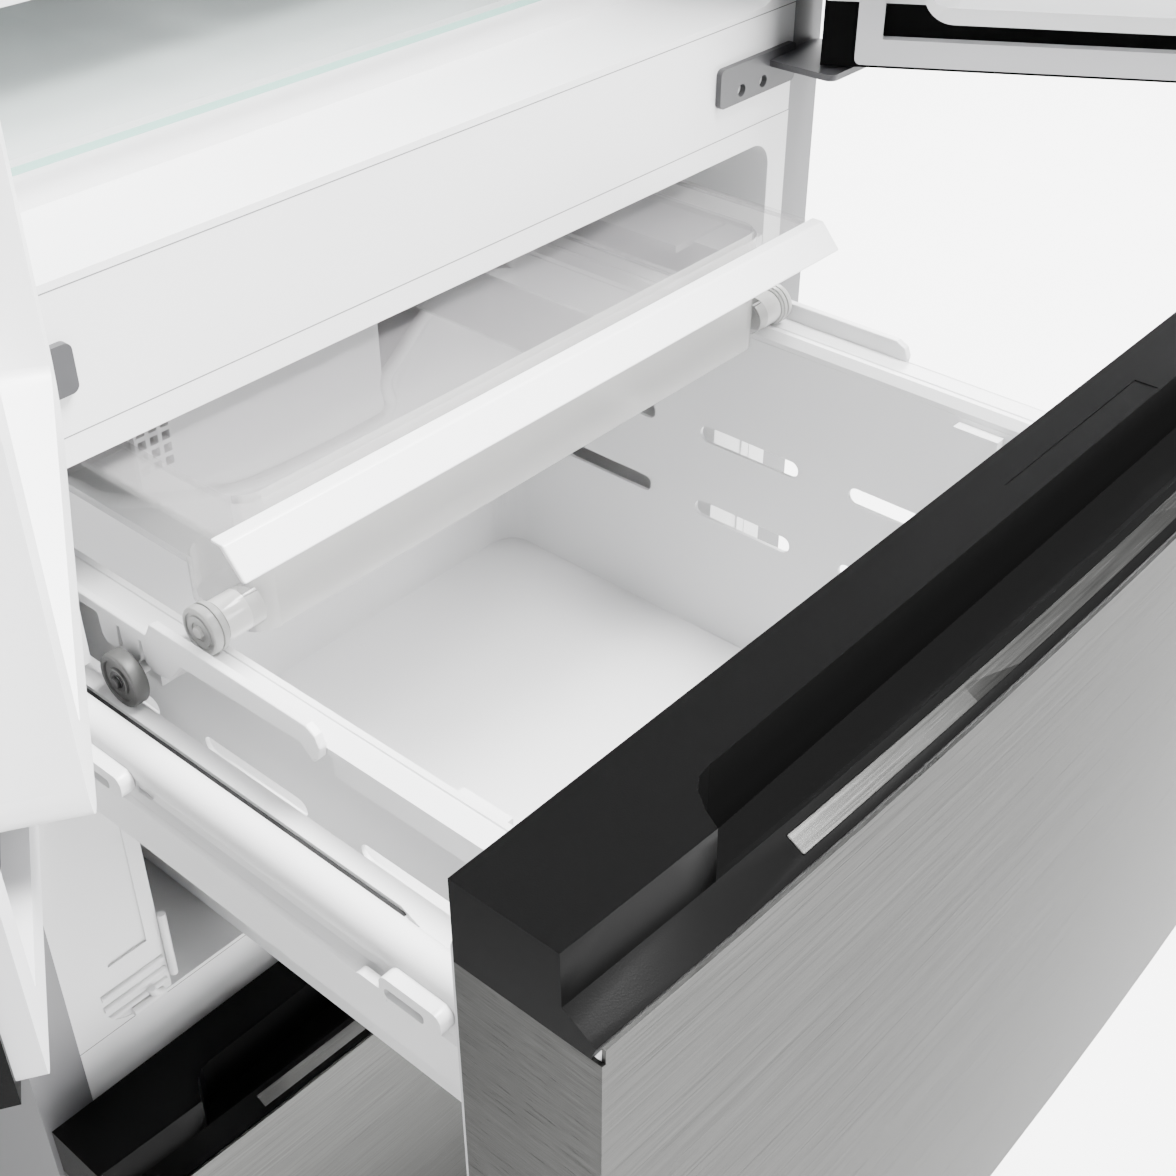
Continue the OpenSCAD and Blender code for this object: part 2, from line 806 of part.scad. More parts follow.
left_bins = [for (k = [0.3, 0.55, 0.8]) fridge_floor + k * fridge_h];
right_bins = [for (k = [0, 0.37, 0.73]) fridge_floor + 32 + k * fridge_h];

module left_door_panel() {
    color(c_steel) at_door(-1) door_panel();
}

module left_door_liner() {
    color(c_white) at_door(-1) door_liner();
}

module left_door_gasket() {
    color(c_seal) at_door(-1) door_gasket();
}

module left_door_cap() {
    color(c_black) at_door(-1) door_cap();
}

module left_door_bins() {
    color(c_tray) at_door(-1) door_bins(left_bins);
}

// The flap stands folded back while the door is open
module centre_flap() {
    color(c_liner) at_door(1) translate([flap_pivot, flap_y, 0]) rotate([0, 0, 90]) {
        union() {
            bar_z(6, 6 + flap_w, -9 + clear, flap_t - 9, fridge_floor + 8, fridge_ceiling - 8, 3);
        }
        for (z = [fridge_floor + 56.4, fridge_ceiling - 43.6]) {
            rod_z(0, 0, z, z + 10, 9);
            span(0, 8, -3, 4.4, z, z + 10);
        }
        for (z = [fridge_floor + 41, fridge_ceiling - 59])
            rod_z(0, 0, z, z + 24, flap_pin);
    }
}

module right_door_panel() {
    color(c_steel) at_door(1) door_panel();
}

module right_door_liner() {
    color(c_white) at_door(1) {
        door_liner();
        // Knuckles that hold the centre flap's pins
        for (z = [fridge_floor + 40, fridge_ceiling - 60])
            translate([0, 0, z]) difference() {
                union() {
                    rod_z(flap_pivot, flap_y, 0, 16, 10);
                    span(flap_pivot - 5, flap_pivot + 5, pin_back - eps, flap_y, 0, 16);
                }
                rod_z(flap_pivot, flap_y, -over, 17, flap_pin + 0.16);
            }
    }
}

module right_door_gasket() {
    color(c_seal) at_door(1) door_gasket();
}

module right_door_cap() {
    color(c_black) at_door(1) door_cap();
}

module right_door_bins() {
    color(c_tray) at_door(1) door_bins(right_bins);
}

// Drawer fronts: y = 0 is the front's back face and z = 0 its top
module front_slab(z0, z1, d) {
    intersection() {
        span(-half, half, -front_t - bow - 5, 0, z0, z1);
        translate([0, bow_k, z0 - over])
            cylinder(r = bow_r(d), h = z1 - z0 + 2 * over, $fn = 1440);
    }
}

module front_panel() {
    difference() {
        front_slab(-front_h, -cap_h + 6, front_t);
        intersection() {
            front_slab(-front_h + skin, 0, front_t - skin);
            span(-half + skin, half - skin, -far, over, -front_h + skin, over);
        }
        span(-half + skin, half - skin, -skin - 4, over, -front_h + skin, over);
        // The cap's seat
        difference() {
            span(-half - over, half + over, -far, over, -cap_h, over);
            span(-half + skin, half - skin, -far, -front_t + skin, -cap_h - over, over);
        }
        span(-half - over, half + over, -cap_top - 12, over, -cap_h, over);
    }
}

module front_cap() {
    difference() {
        intersection() {
            span(-half, half, -front_t - bow - 5, 0, -cap_h, 0);
            translate([0, bow_k, 0]) rotate_extrude($fn = 1440)
                polygon([[bow_k - 400, -cap_h], [bow_r(lip_out - 2), -cap_h],
                    [bow_r(lip_out), -lip_end], [bow_r(cap_top + 0.5), -lip_drop],
                    [bow_r(cap_top), 0], [bow_k - 400, 0]]);
        }
        // Finger scoop behind the lip
        intersection() {
            scoop_plan();
            translate([0, bow_k, 0]) rotate_extrude($fn = 1440)
                polygon([[bow_k - 400, -scoop_drop], [bow_r(cap_top - 3), -scoop_drop],
                    [bow_r(cap_top - 1.5), -lip_drop], [bow_r(cap_top + 6), -lip_drop + 0.2],
                    [bow_r(cap_top + 6), over], [bow_k - 400, over]]);
        }
        // Shallow inset on the top land
        span(half - 404, half - 290, -scoop_back + 1.4, -scoop_back + 12.2, -0.4, over);
        // Seat of the silver plate
        plate_space(0, 0.2);
    }
}

// The scoop seen from above: its ends swing outwards to the front edge
module scoop_plan() {
    s = half - scoop_side;
    translate([0, 0, -scoop_drop]) linear_extrude(scoop_drop + over)
        polygon([[-s, -90], [-s, -cap_top - 3], [-s + 4, -scoop_back - 11.5],
            [-s + 9.6, -scoop_back - 4.1], [-s + 14.5, -scoop_back - 0.8], [-s + 21, -scoop_back],
            [s - 21, -scoop_back], [s - 14.5, -scoop_back - 0.8], [s - 9.6, -scoop_back - 4.1],
            [s - 4, -scoop_back - 11.5], [s, -cap_top - 3], [s, -90]]);
}

// Slanted band on the lip, from the lip's inner to its outer edge
module plate_space(shrink, g) {
    slope = (lip_end - lip_drop) / (lip_out - cap_top - 0.5);
    d0 = cap_top + 3 + shrink;
    d1 = lip_out - 3 - shrink;
    intersection() {
        span(-plate_l / 2 - g, plate_l / 2 + g, -front_t - bow - 5, 0, -lip_end - 2, 0);
        translate([0, bow_k, 0]) rotate_extrude($fn = 1440)
            polygon([[bow_r(d0), -lip_drop - slope * (d0 - cap_top - 0.5) - 0.8],
                [bow_r(d1), -lip_drop - slope * (d1 - cap_top - 0.5) - 0.8],
                [bow_r(d1), -lip_drop - slope * (d1 - cap_top - 0.5) + (shrink > 0 ? 0 : 1)],
                [bow_r(d0), -lip_drop - slope * (d0 - cap_top - 0.5) + (shrink > 0 ? 0 : 1)]]);
    }
}

// Silver plate, a thin conical band that lies in its seat
module front_plate() {
    slope = (lip_end - lip_drop) / (lip_out - cap_top - 0.5);
    d0 = cap_top + 3.1;
    d1 = lip_out - 3.1;
    z0 = lip_drop + slope * (d0 - cap_top - 0.5);
    z1 = lip_drop + slope * (d1 - cap_top - 0.5);
    intersection() {
        span(-plate_l / 2 + 0.1, plate_l / 2 - 0.1, -front_t - bow - 5, 0, -z1, -z0);
        difference() {
            translate([0, bow_k, -z1])
                cylinder(r1 = bow_r(d1), r2 = bow_r(d0), h = z1 - z0, $fn = 1440);
            translate([0, bow_k, -z1 - 0.7])
                cylinder(r1 = bow_r(d1), r2 = bow_r(d0), h = z1 - z0, $fn = 1440);
            translate([0, bow_k, -z1 - over])
                cylinder(r = bow_r(d0), h = z1 - z0 + 2 * over, $fn = 1440);
        }
    }
}

// Foam-filled inner side with its raised dyke
module front_liner(zone_low, zone_high) {
    difference() {
        intersection() {
            front_slab(-front_h + skin, -cap_h, front_t - skin);
            span(-half + skin, half - skin, -far, over, -front_h, 0);
        }
    }
    difference() {
        bar_y(-open_half + 50, open_half - 50, -eps, inner_t, zone_low, zone_high, 12);
        bar_y(-open_half + 64, open_half - 64, 4, inner_t + over, zone_low + 14, zone_high - 14, 8);
    }
}

module front_gasket() {
    ring_y(-half + 6, half - 6, -front_h + 6, -cap_h - 0.5, 0, gasket_t, 13, 4);
}

// Basket: y = 0 is the front's back face and z = 0 the drawer's top
module basket_body(depth, drop, grow) {
    // Outer or inner form, drafted towards the floor
    hull() {
        translate([0, basket_y + depth / 2, -rim_drop - (grow > 0 ? 10 : 9)])
            linear_extrude(grow > 0 ? 1 : 2) rrect(2 * (wall_half + (grow > 0 ? basket_t : 0)),
                depth - (grow > 0 ? 0 : 2 * basket_t), 14);
        translate([0, basket_y + depth / 2, -drop - (grow > 0 ? basket_t : 0)])
            linear_extrude(1) rrect(2 * (floor_half + (grow > 0 ? basket_t : 0)),
                depth - 16 - (grow > 0 ? 0 : 2 * basket_t), 20);
    }
}

module side_slots(y_first, count, drops) {
    for (i = [0:count - 1], z = drops)
        bar_x(-wall_half - 20, wall_half + 20, y_first + i * slot_pitch,
            y_first + slot_l + i * slot_pitch, -z - slot_h / 2, -z + slot_h / 2, slot_h / 2 - 0.1);
}

// Rim of one stretch: slope up from the wall, flat roller track, outer face
module basket_rim(y0, y1, face) {
    both() translate([0, y1, 0]) rotate([90, 0, 0]) linear_extrude(y1 - y0)
        polygon([[wall_half + 0.4, -rim_drop - 13], [wall_half + 0.4, -rim_drop - 5.5],
            [rim_half, -rim_drop], [rim_half + 3.4, -rim_drop],
            [rim_half + 3.9, -rim_drop - 0.8], [rim_half + 4.9, -rim_drop - 0.8],
            [rim_half + 5.4, -rim_drop], [lip_half, -rim_drop], [lip_half, -rim_drop - face],
            [lip_half - basket_t, -rim_drop - face], [lip_half - basket_t, -rim_drop - 3],
            [rim_half + 1.3, -rim_drop - 3], [wall_half + 2.1, -rim_drop - 8],
            [wall_half + 2.1, -rim_drop - 13]]);
}

// Feet that stand on the widened front end of the rail covers' ledges
module basket_feet() {
    both() span(rim_half + 7.4, rim_half + 12.4, 24, 70, -ledge_drop + clear, -rim_drop - 2);
}

// Space above the lowered back wall, as seen from the front
module back_opening() {
    side = wall_half - 1.5;
    polygon([[-side, 0], [-side, -rim_drop - 14], [-170, -rim_drop - 24],
        [-155, -rim_drop - 36], [-140, -rim_drop - 52], [-110, -rim_drop - 68],
        [-46, -rim_drop - 91], [8, -rim_drop - 96], [82, -rim_drop - 96],
        [92, -rim_drop - 93], [96, -rim_drop - 87], [93, -rim_drop - 77],
        [94, -rim_drop - 66], [105, -rim_drop - 56], [140, -rim_drop - 29],
        [152, -rim_drop - 25], [side, -rim_drop - 24], [side, 0]]);
}

module upper_basket() {
    back = basket_y + basket_d;
    color(c_white) at_upper() {
        difference() {
            union() {
                basket_body(basket_d, basket_drop, 1);
                basket_rim(basket_y + 0.5, raised_y - 12, skirt);
                basket_rim(raised_y - 12.1, back - 0.5, 4);
                // Ribs behind the flange that carry the wheel's pin
                both() for (y = [-9, 9])
                    span(wall_half + 1, lip_half - 0.1, wheel_y + y - 1.5, wheel_y + y + 1.5,
                        -wheel_drop - 8, -rim_drop - 6);
                both() span(wall_half + 1, lip_half - 0.1, wheel_y - 10, wheel_y + 10,
                    -wheel_drop - 6, -wheel_drop + 6);
                basket_feet();
            }
            basket_body(basket_d, basket_drop, 0);
            side_slots(wheel_y - 204.5, 3, [rim_drop + 91, rim_drop + 150]);
            translate([0, back + 5, 0]) rotate([90, 0, 0]) linear_extrude(20) back_opening();
        }
        // Thick rim along the lowered back wall
        translate([0, back + 1.5, 0]) rotate([90, 0, 0]) linear_extrude(6) intersection() {
            difference() {
                offset(r = 5, $fn = 24) back_opening();
                back_opening();
            }
            translate([-wall_half + 1, -rim_drop - 120]) square([2 * wall_half - 2, 109]);
        }
        // Panel with a vent grille behind the lowered wall
        difference() {
            bar_y(-110, 92, back - 1, back + 4, -rim_drop - 102, -rim_drop + 12, 8);
            for (i = [0:2], j = [0:4])
                span(-108 + i * 9, -102 + i * 9, back - 5, back + 9, -rim_drop - 54 + j * 9,
                    -rim_drop - 48 + j * 9);
        }
        // Wedges on the side walls that hold a divider's clips
        both() span(wall_half - 8, wall_half - 0.4, 112, 142, -rim_drop - 50, -rim_drop - 12);
        both() rod_x(lip_half - 1, wheel_x + wheel_w / 2 + 1.5, wheel_y, -wheel_drop, axle_d);
    }
}

// Raised flange of the rear half, with its front hook and the tabs over the wheel
module basket_flanges() {
    low = -rim_drop - 4;
    top = -rim_drop + flange_rise;
    tab = low - 16;
    color(c_white) at_upper() both() translate([lip_half, 0, 0]) rotate([90, 0, 90])
        linear_extrude(flange_t) polygon([[basket_y + basket_d - 1, low],
            [wheel_y + 29, low], [wheel_y + 28, tab + 3], [wheel_y + 25, tab], [wheel_y + 17, tab],
            [wheel_y + 14, tab + 3], [wheel_y + 13, low], [wheel_y + 11, low],
            [wheel_y + 10, tab + 3], [wheel_y + 7, tab], [wheel_y - 1, tab],
            [wheel_y - 4, tab + 3], [wheel_y - 5, low], [wheel_y - 7, low],
            [wheel_y - 8, tab + 4], [wheel_y - 13, tab], [wheel_y - 26, tab + 2],
            [wheel_y - 38, low], [raised_y + 4, low + 3], [raised_y + 0.5, low - 1],
            [raised_y - 4, low - 4], [raised_y - 8, low], [raised_y - 9.5, top - 9],
            [raised_y - 7, top - 3], [raised_y - 1, top], [wheel_y - 17, top],
            [wheel_y - 12, top - 9], [basket_y + basket_d - 1, top - 9]]);
}

module upper_wheels() {
    color(c_dark) at_upper() both() difference() {
        union() {
            rod_x(wheel_x - wheel_w / 2, wheel_x + wheel_w / 2, wheel_y, -wheel_drop, wheel_d);
        }
        rod_x(wheel_x - wheel_w, wheel_x + wheel_w, wheel_y, -wheel_drop, axle_d + 0.12);
        rod_x(wheel_x + wheel_w / 2 - 2, wheel_x + wheel_w, wheel_y, -wheel_drop, wheel_d - 9);
    }
}

// Rail cover: a ridge, a hollow flank and a recessed foot, with a ledge for the wheels
module cover_section() {
    low = cover_top + cover_h;
    difference() {
        union() {
            translate([rail_mid, -cover_top - ridge_d / 2]) circle(d = ridge_d, $fn = fine);
            polygon([[cover_in, -cover_top - 10], [rail_mid + 9.3, -cover_top - 7],
                [rail_mid + 9, -cover_top - 13], [rail_mid + 9.8, -cover_top - 18],
                [cover_out - 2, -cover_top - 22.5], [cover_out, -cover_top - 25],
                [cover_out, -cover_top - 28.5], [cover_out - 2, -cover_top - 29.5],
                [cover_out - 2, -low], [cover_in, -low]]);
            // Ledge that the basket's wheels stand on
            translate([ledge_x, -ledge_drop - ledge_t]) square([ledge_w, ledge_t]);
            translate([ledge_x, -ledge_drop - ledge_t - 2])
                square([cover_in - ledge_x + 1, ledge_t]);
        }
        // The moving rail member is seated against this channel's ceiling
        translate([rail_mid - channel_half, -low - over])
            square([2 * channel_half, low + over - channel_drop]);
        translate([rail_mid, -low - over])
            square([cover_out - rail_mid - 3.6, low + over - cover_top - 26]);
    }
}

module rail_cover(length) {
    both() {
        translate([0, length, 0]) rotate([90, 0, 0]) linear_extrude(length) cover_section();
        // Front end of the ledge, wide enough for the basket's feet
        translate([0, 0, -ledge_drop - ledge_t]) linear_extrude(ledge_t)
            polygon([[rim_half + 7, inner_t + clear], [cover_in + 1, inner_t + clear],
                [cover_in + 1, ledge_front], [ledge_x + ledge_w + 3, ledge_front - 8],
                [ledge_x + ledge_w - 1, ledge_front + 12], [ledge_x + 1, ledge_front + 12],
                [ledge_x + 1, 90], [rim_half + 7, 80]]);
    }
}

module rail_clip(y) {
    both() {
        difference() {
            bar_x(cover_out - 4, cover_out + 3.5, y, y + 36, -cover_top - 22, -cover_top - 9, 5);
            bar_x(cover_out + 0.5, cover_out + 7, y + 10, y + 33, -cover_top - 20.5,
                -cover_top - 15, 2);
        }
        bar_x(cover_out - 2, cover_out + 3, y + 33, y + 52, -cover_top - 28, -cover_top - 19, 4);
    }
}

module upper_rail_covers() {
    color(c_white) at_upper() {
        difference() {
            rail_cover(rail_l - 50);
            both() bar_x(cover_out - 5.5, cover_out + 9, wheel_y - 66, wheel_y - 52.5,
                -cover_top - 19, -cover_top - 13, 2.9);
        }
        rail_clip(71);
        rail_clip(wheel_y - 52);
    }
}

module lower_rail_covers() {
    color(c_white) at_lower() rail_cover(lower_rail_l - 35);
}

// Three-member rails, stacked under each other inside the covers
module fixed_rail(length, top) {
    low = top - rail_base;
    both() {
        difference() {
            span(rail_mid - fixed_half, rail_mid + fixed_half, rail_y, rail_y + length,
                low - 3, low + 40);
            span(rail_mid - fixed_half + rail_wall, rail_mid + fixed_half - rail_wall,
                rail_y - over, rail_y + length + over, low - 3 + rail_wall, low + 50);
        }
        for (y = [tower_d + 10, rail_y + length - 60])
            span(rail_mid - fixed_half, open_half, y, y + 40, low - 6, low - 3 + eps);
    }
}

module fixed_rails() {
    color(c_zinc) at_front() {
        fixed_rail(rail_l, upper_top);
        fixed_rail(lower_rail_l, lower_top);
    }
}

module middle_rail(length, top) {
    low = top - rail_base;
    both() difference() {
        span(rail_mid - middle_half, rail_mid + middle_half, 0, length, low - 1,
            low + moving_top - 2);
        span(rail_mid - middle_half - over, rail_mid + middle_half - 2.3, -over, length + over,
            low + 9, low + 38);
    }
}

module upper_rail_middle() {
    color(c_zinc) translate([0, front_y + rail_y - upper_pull / 2, 0])
        middle_rail(rail_l, upper_top);
}

module lower_rail_middle() {
    color(c_zinc) translate([0, front_y + rail_y, 0]) middle_rail(lower_rail_l, lower_top);
}

module moving_rail(length) {
    both() difference() {
        span(rail_mid - rail_half, rail_mid + rail_half, 0, length, -rail_base + 41,
            -rail_base + moving_top);
        span(rail_mid - rail_half + rail_wall, rail_mid + rail_half - rail_wall, -over,
            length + over, -rail_base + 35, -rail_base + moving_top - 1.5);
    }
}

module upper_rail_moving() {
    color(c_zinc) at_upper() moving_rail(rail_l);
}

module lower_rail_moving() {
    color(c_zinc) at_lower() moving_rail(lower_rail_l);
}

// Towers inside the upper opening, cut back where the rails run through
module rail_towers() {
    color(c_white) at_front() {
        both() difference() {
            intersection() {
                union() {
                    span(tower_in, open_half, 0.5, tower_d, upper_floor,
                        upper_top - rail_base - 12);
                    // Block over the covers
                    span(tower_in + 4, open_half, 0.5, tower_d, upper_top - cover_top + 3.5,
                        upper_top - rim_drop + 20);
                    // Ridges along the foot
                    for (i = [0:2])
                        bar_x(tower_in + 2, open_half, -1.6, 4, upper_floor + 6 + i * 9,
                            upper_floor + 10 + i * 9, 1.9);
                }
                bar_y(-open_half + 0.05, open_half - 0.05, -9, tower_d + over,
                    upper_floor + 0.05, upper_ceiling, cavity_r);
            }
            // Shallow panel on the front of the tower
            span(tower_in + 9, open_half - 9, -4, 2, upper_floor + 45,
                upper_top - rail_base - 30);
        }
        // Seal tube along the foot, turned up at its inner end
        both() {
            rod_x(tower_in + 6, open_half - cavity_r + 2, tube_y, upper_floor + 3, 5);
            translate([tower_in + 6, tube_y, upper_floor + 11]) rotate([90, 90, 0])
                rotate_extrude(angle = 90, $fn = fine) translate([8, 0]) circle(d = 5, $fn = 24);
            rod_z(tower_in - 2, tube_y, upper_floor + 11, upper_floor + 60, 5);
        }
    }
}

// Inner tray: y = 0 is the tray's front and z = 0 the drawer's top
module tray_body() {
    color(c_tray) at_tray() {
        difference() {
            union() {
                bar_z(-tray_half, tray_half, well_y, tray_d, -tray_drop, -lid_drop - 2.5, 16);
                bar_z(-tray_half, tray_half, well_y, well_y + well_d, -well_drop,
                    -tray_drop + 1, 16);
                bar_z(-lid_half, lid_half, 22.2, tray_d, -lid_drop - 5, -lid_drop - 2, 4);
            }
            bar_z(-tray_half + tray_t, tray_half - tray_t, well_y + tray_t, tray_d - tray_t,
                -tray_drop + tray_t, -lid_drop + over, 14);
            bar_z(-tray_half + tray_t, tray_half - tray_t, well_y + tray_t,
                well_y + well_d - tray_t, -well_drop + tray_t, -tray_drop + 5, 14);
        }
        // Divider across the tray
        span(60, 62, well_y + 1, tray_d - 1, -tray_drop + 1, -lid_drop - 12);
        span(60, 62, well_y + 1, well_y + well_d - 1, -well_drop + 1, -tray_drop + 1 + eps);
        both() {
            // Hubs of the front rollers
            rod_x(tray_half - 6, roller_x - roller_w / 2 - 0.5, roller_y + tray_out,
                -roller_drop, roller_d - 4);
            rod_x(roller_x - roller_w / 2 - 1, roller_x + roller_w / 2 + 1, roller_y + tray_out,
                -roller_drop, axle_d);
            // Skids on the cabinet's tracks
            span(tray_half - 1, lip_half + 24, tray_d - 60, tray_d - 4,
                -track_drop + clear, -track_drop + 8);
        }
    }
}

module tray_lid() {
    color(c_smoke) at_tray()
        bar_z(-lid_half, lid_half, 22.2, tray_d, -lid_drop - 2, -lid_drop, 4);
}

module tray_flange() {
    color(c_white) at_tray() translate([-lid_half - 4, 0, 0]) rotate([90, 0, 90])
        linear_extrude(2 * lid_half + 8)
            polygon([[0, -lid_drop - 15], [2, -lid_drop - 15.6], [15, -lid_drop - 2],
                [22, -lid_drop - 2], [22, -lid_drop + 0.2], [13.5, -lid_drop + 0.2]]);
}

module tray_rollers() {
    color(c_liner) at_tray() both() difference() {
        union() {
            rod_x(roller_x - roller_w / 2, roller_x + roller_w / 2, roller_y + tray_out,
                -roller_drop, roller_d - 2);
            rod_x(roller_x - roller_w / 2, roller_x - roller_w / 2 + 4, roller_y + tray_out,
                -roller_drop, roller_d);
            rod_x(roller_x + roller_w / 2 - 4, roller_x + roller_w / 2, roller_y + tray_out,
                -roller_drop, roller_d);
        }
        rod_x(roller_x - roller_w, roller_x + roller_w, roller_y + tray_out, -roller_drop,
            axle_d + 0.12);
    }
}

module lower_basket() {
    color(c_white) at_lower() difference() {
        union() {
            basket_body(lower_basket_d, lower_basket_drop, 1);
            basket_rim(basket_y + 0.5, basket_y + lower_basket_d - 0.5, skirt);
            basket_feet();
        }
        basket_body(lower_basket_d, lower_basket_drop, 0);
        side_slots(60, 2, [rim_drop + 60, rim_drop + 110]);
    }
}

module upper_front_panel() {
    color(c_steel) at_upper() front_panel();
}

module upper_front_cap() {
    color(c_black) at_upper() front_cap();
}

module upper_front_plate() {
    color(c_zinc) at_upper() front_plate();
}

module upper_front_liner() {
    color(c_white) at_upper() front_liner(upper_floor + 12 - upper_top,
        upper_ceiling - 14 - upper_top);
}

module upper_front_gasket() {
    color(c_seal) at_upper() front_gasket();
}

module lower_front_panel() {
    color(c_steel) at_lower() front_panel();
}

module lower_front_cap() {
    color(c_black) at_lower() front_cap();
}

module lower_front_plate() {
    color(c_zinc) at_lower() front_plate();
}

module lower_front_liner() {
    color(c_white) at_lower() front_liner(lower_floor + 12 - lower_top,
        lower_ceiling - 12 - lower_top);
}

module lower_front_gasket() {
    color(c_seal) at_lower() front_gasket();
}

cabinet_shell();
back_panels();
insulation();
fridge_liner();
upper_freezer_liner();
lower_freezer_liner();
mullion_covers();
base_frame();
toe_grille();
levelling_feet();
rear_rollers();
compressor();
condenser_unit();
fan_blades();
drip_tray();
power_inlet();
evaporator();
duct_cover();
glass_shelves();
shelf_trims();
crisper_left();
crisper_right();
door_hinges();
left_door_panel();
left_door_liner();
left_door_gasket();
left_door_cap();
left_door_bins();
centre_flap();
right_door_panel();
right_door_liner();
right_door_gasket();
right_door_cap();
right_door_bins();
upper_front_panel();
upper_front_cap();
upper_front_plate();
upper_front_liner();
upper_front_gasket();
upper_basket();
basket_flanges();
upper_rail_covers();
upper_wheels();
fixed_rails();
upper_rail_middle();
upper_rail_moving();
rail_towers();
tray_body();
tray_lid();
tray_flange();
tray_rollers();
lower_front_panel();
lower_front_cap();
lower_front_plate();
lower_front_liner();
lower_front_gasket();
lower_basket();
lower_rail_covers();
lower_rail_middle();
lower_rail_moving();
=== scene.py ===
import json
import math

import bmesh
import bpy
from mathutils import Matrix, Vector


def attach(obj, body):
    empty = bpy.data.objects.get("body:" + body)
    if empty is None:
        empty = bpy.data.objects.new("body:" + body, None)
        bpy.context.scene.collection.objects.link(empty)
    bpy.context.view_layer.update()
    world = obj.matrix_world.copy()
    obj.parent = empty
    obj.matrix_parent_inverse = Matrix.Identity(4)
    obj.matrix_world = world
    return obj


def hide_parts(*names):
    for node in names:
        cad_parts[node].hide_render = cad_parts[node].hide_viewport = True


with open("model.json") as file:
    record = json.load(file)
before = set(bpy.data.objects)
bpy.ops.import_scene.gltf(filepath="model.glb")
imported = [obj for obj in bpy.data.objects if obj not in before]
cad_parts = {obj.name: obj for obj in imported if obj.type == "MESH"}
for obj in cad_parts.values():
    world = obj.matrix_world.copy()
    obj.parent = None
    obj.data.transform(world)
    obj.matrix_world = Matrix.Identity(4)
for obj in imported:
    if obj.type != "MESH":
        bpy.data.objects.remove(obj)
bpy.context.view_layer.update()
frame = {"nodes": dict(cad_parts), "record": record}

NODES = frame["nodes"]
SLOT_OF = {row["node"]: row["material_slot"] for row in frame["record"]["subparts"]}
MM = 0.001


# Shader sockets with arithmetic
class Value:
    """An output socket that Python's operators build Math nodes on."""

    def __init__(self, finish, socket):
        self.finish = finish
        self.socket = socket

    def math(self, operation, *others):
        node = self.finish.tree.nodes.new("ShaderNodeMath")
        node.operation = operation
        for index, item in enumerate((self, *others)):
            self.finish.feed(node.inputs[index], item)
        return Value(self.finish, node.outputs[0])

    def __add__(self, other):
        return self.math("ADD", other)

    __radd__ = __add__

    def __sub__(self, other):
        return self.math("SUBTRACT", other)

    def __rsub__(self, other):
        return (self * -1.0).math("ADD", other)

    def __mul__(self, other):
        return self.math("MULTIPLY", other)

    __rmul__ = __mul__

    def unsigned(self):
        return self.math("ABSOLUTE")

    def above(self, limit, blur=0.02):
        """0 below the limit, 1 above it, with a soft step."""
        return self.finish.node(
            "ShaderNodeMapRange",
            {"clamp": True},
            {"Value": self, "From Min": limit - blur, "From Max": limit + blur},
        )


class Finish:
    """A material: constants go straight on the shader's sockets, patterns come as values."""

    def __init__(self, name, **constants):
        self.material = bpy.data.materials.new(name)
        self.material.use_nodes = True
        self.tree = self.material.node_tree
        self.shader = self.tree.nodes["Principled BSDF"]
        for key, value in constants.items():
            socket = self.shader.inputs[key.replace("_", " ")]
            socket.default_value = (*value, 1.0) if isinstance(value, tuple) else value

    def feed(self, socket, item):
        if isinstance(item, Value):
            self.tree.links.new(item.socket, socket)
        else:
            socket.default_value = item

    def node(self, kind, settings=None, inputs=None, output=0):
        """A node of any kind: its settings first, then the values or links of its sockets."""
        made = self.tree.nodes.new(kind)
        for key, value in (settings or {}).items():
            setattr(made, key, value)
        for key, value in (inputs or {}).items():
            self.feed(made.inputs[key], value)
        return Value(self, made.outputs[output])

    def place(self, scale=(1, 1, 1), turn=(0, 0, 0)):
        """Object coordinates, turned and stretched."""
        spot = self.node("ShaderNodeTexCoord", output="Object")
        return self.node(
            "ShaderNodeMapping", {}, {"Vector": spot, "Rotation": turn, "Scale": scale}
        )

    def axis(self, index):
        """One coordinate of the point, in metres."""
        spot = self.node("ShaderNodeTexCoord", output="Object")
        return self.node("ShaderNodeSeparateXYZ", {}, {"Vector": spot}, output=index)

    def facing(self, index):
        """One component of the surface's normal."""
        normal = self.node("ShaderNodeNewGeometry", output="Normal")
        return self.node("ShaderNodeSeparateXYZ", {}, {"Vector": normal}, output=index)

    def noise(self, size, detail=2.0, roughness=0.5, **mapping):
        return self.node(
            "ShaderNodeTexNoise",
            {},
            {
                "Vector": self.place(**mapping),
                "Scale": size,
                "Detail": detail,
                "Roughness": roughness,
            },
        )

    def mix(self, mask, first, second):
        """A colour between two, by the mask."""
        made = self.tree.nodes.new("ShaderNodeMix")
        made.data_type = "RGBA"
        self.feed(made.inputs["Factor"], mask)
        # Sockets 6 and 7 are the node's two colours, output 2 its mixed colour
        self.feed(made.inputs[6], (*first, 1.0))
        self.feed(made.inputs[7], (*second, 1.0))
        return Value(self, made.outputs[2])

    def set(self, **sockets):
        for key, item in sockets.items():
            self.feed(self.shader.inputs[key.replace("_", " ")], item)

    def bump(self, height, depth, strength=1.0):
        normal = self.node(
            "ShaderNodeBump", {}, {"Height": height, "Distance": depth, "Strength": strength}
        )
        self.feed(self.shader.inputs["Normal"], normal)


# Spots per metre of the slight clouds of tone on a plain finish
CLOUD_SIZE = 6.0
CLOUD_DETAIL = 3.0


def plain(name, colour, rough, grain=0.0, grain_size=900.0, shift=0.03, **constants):
    """A moulded or painted finish with a slight change of tone and a fine grain."""
    finish = Finish(name, Roughness=rough, **constants)
    cloud = finish.noise(CLOUD_SIZE, CLOUD_DETAIL)
    darker = tuple(channel * (1.0 - shift) for channel in colour)
    lighter = tuple(min(channel * (1.0 + shift), 1.0) for channel in colour)
    finish.set(Base_Color=finish.mix(cloud, darker, lighter))
    if grain:
        finish.bump(finish.noise(grain_size), grain)
    return finish


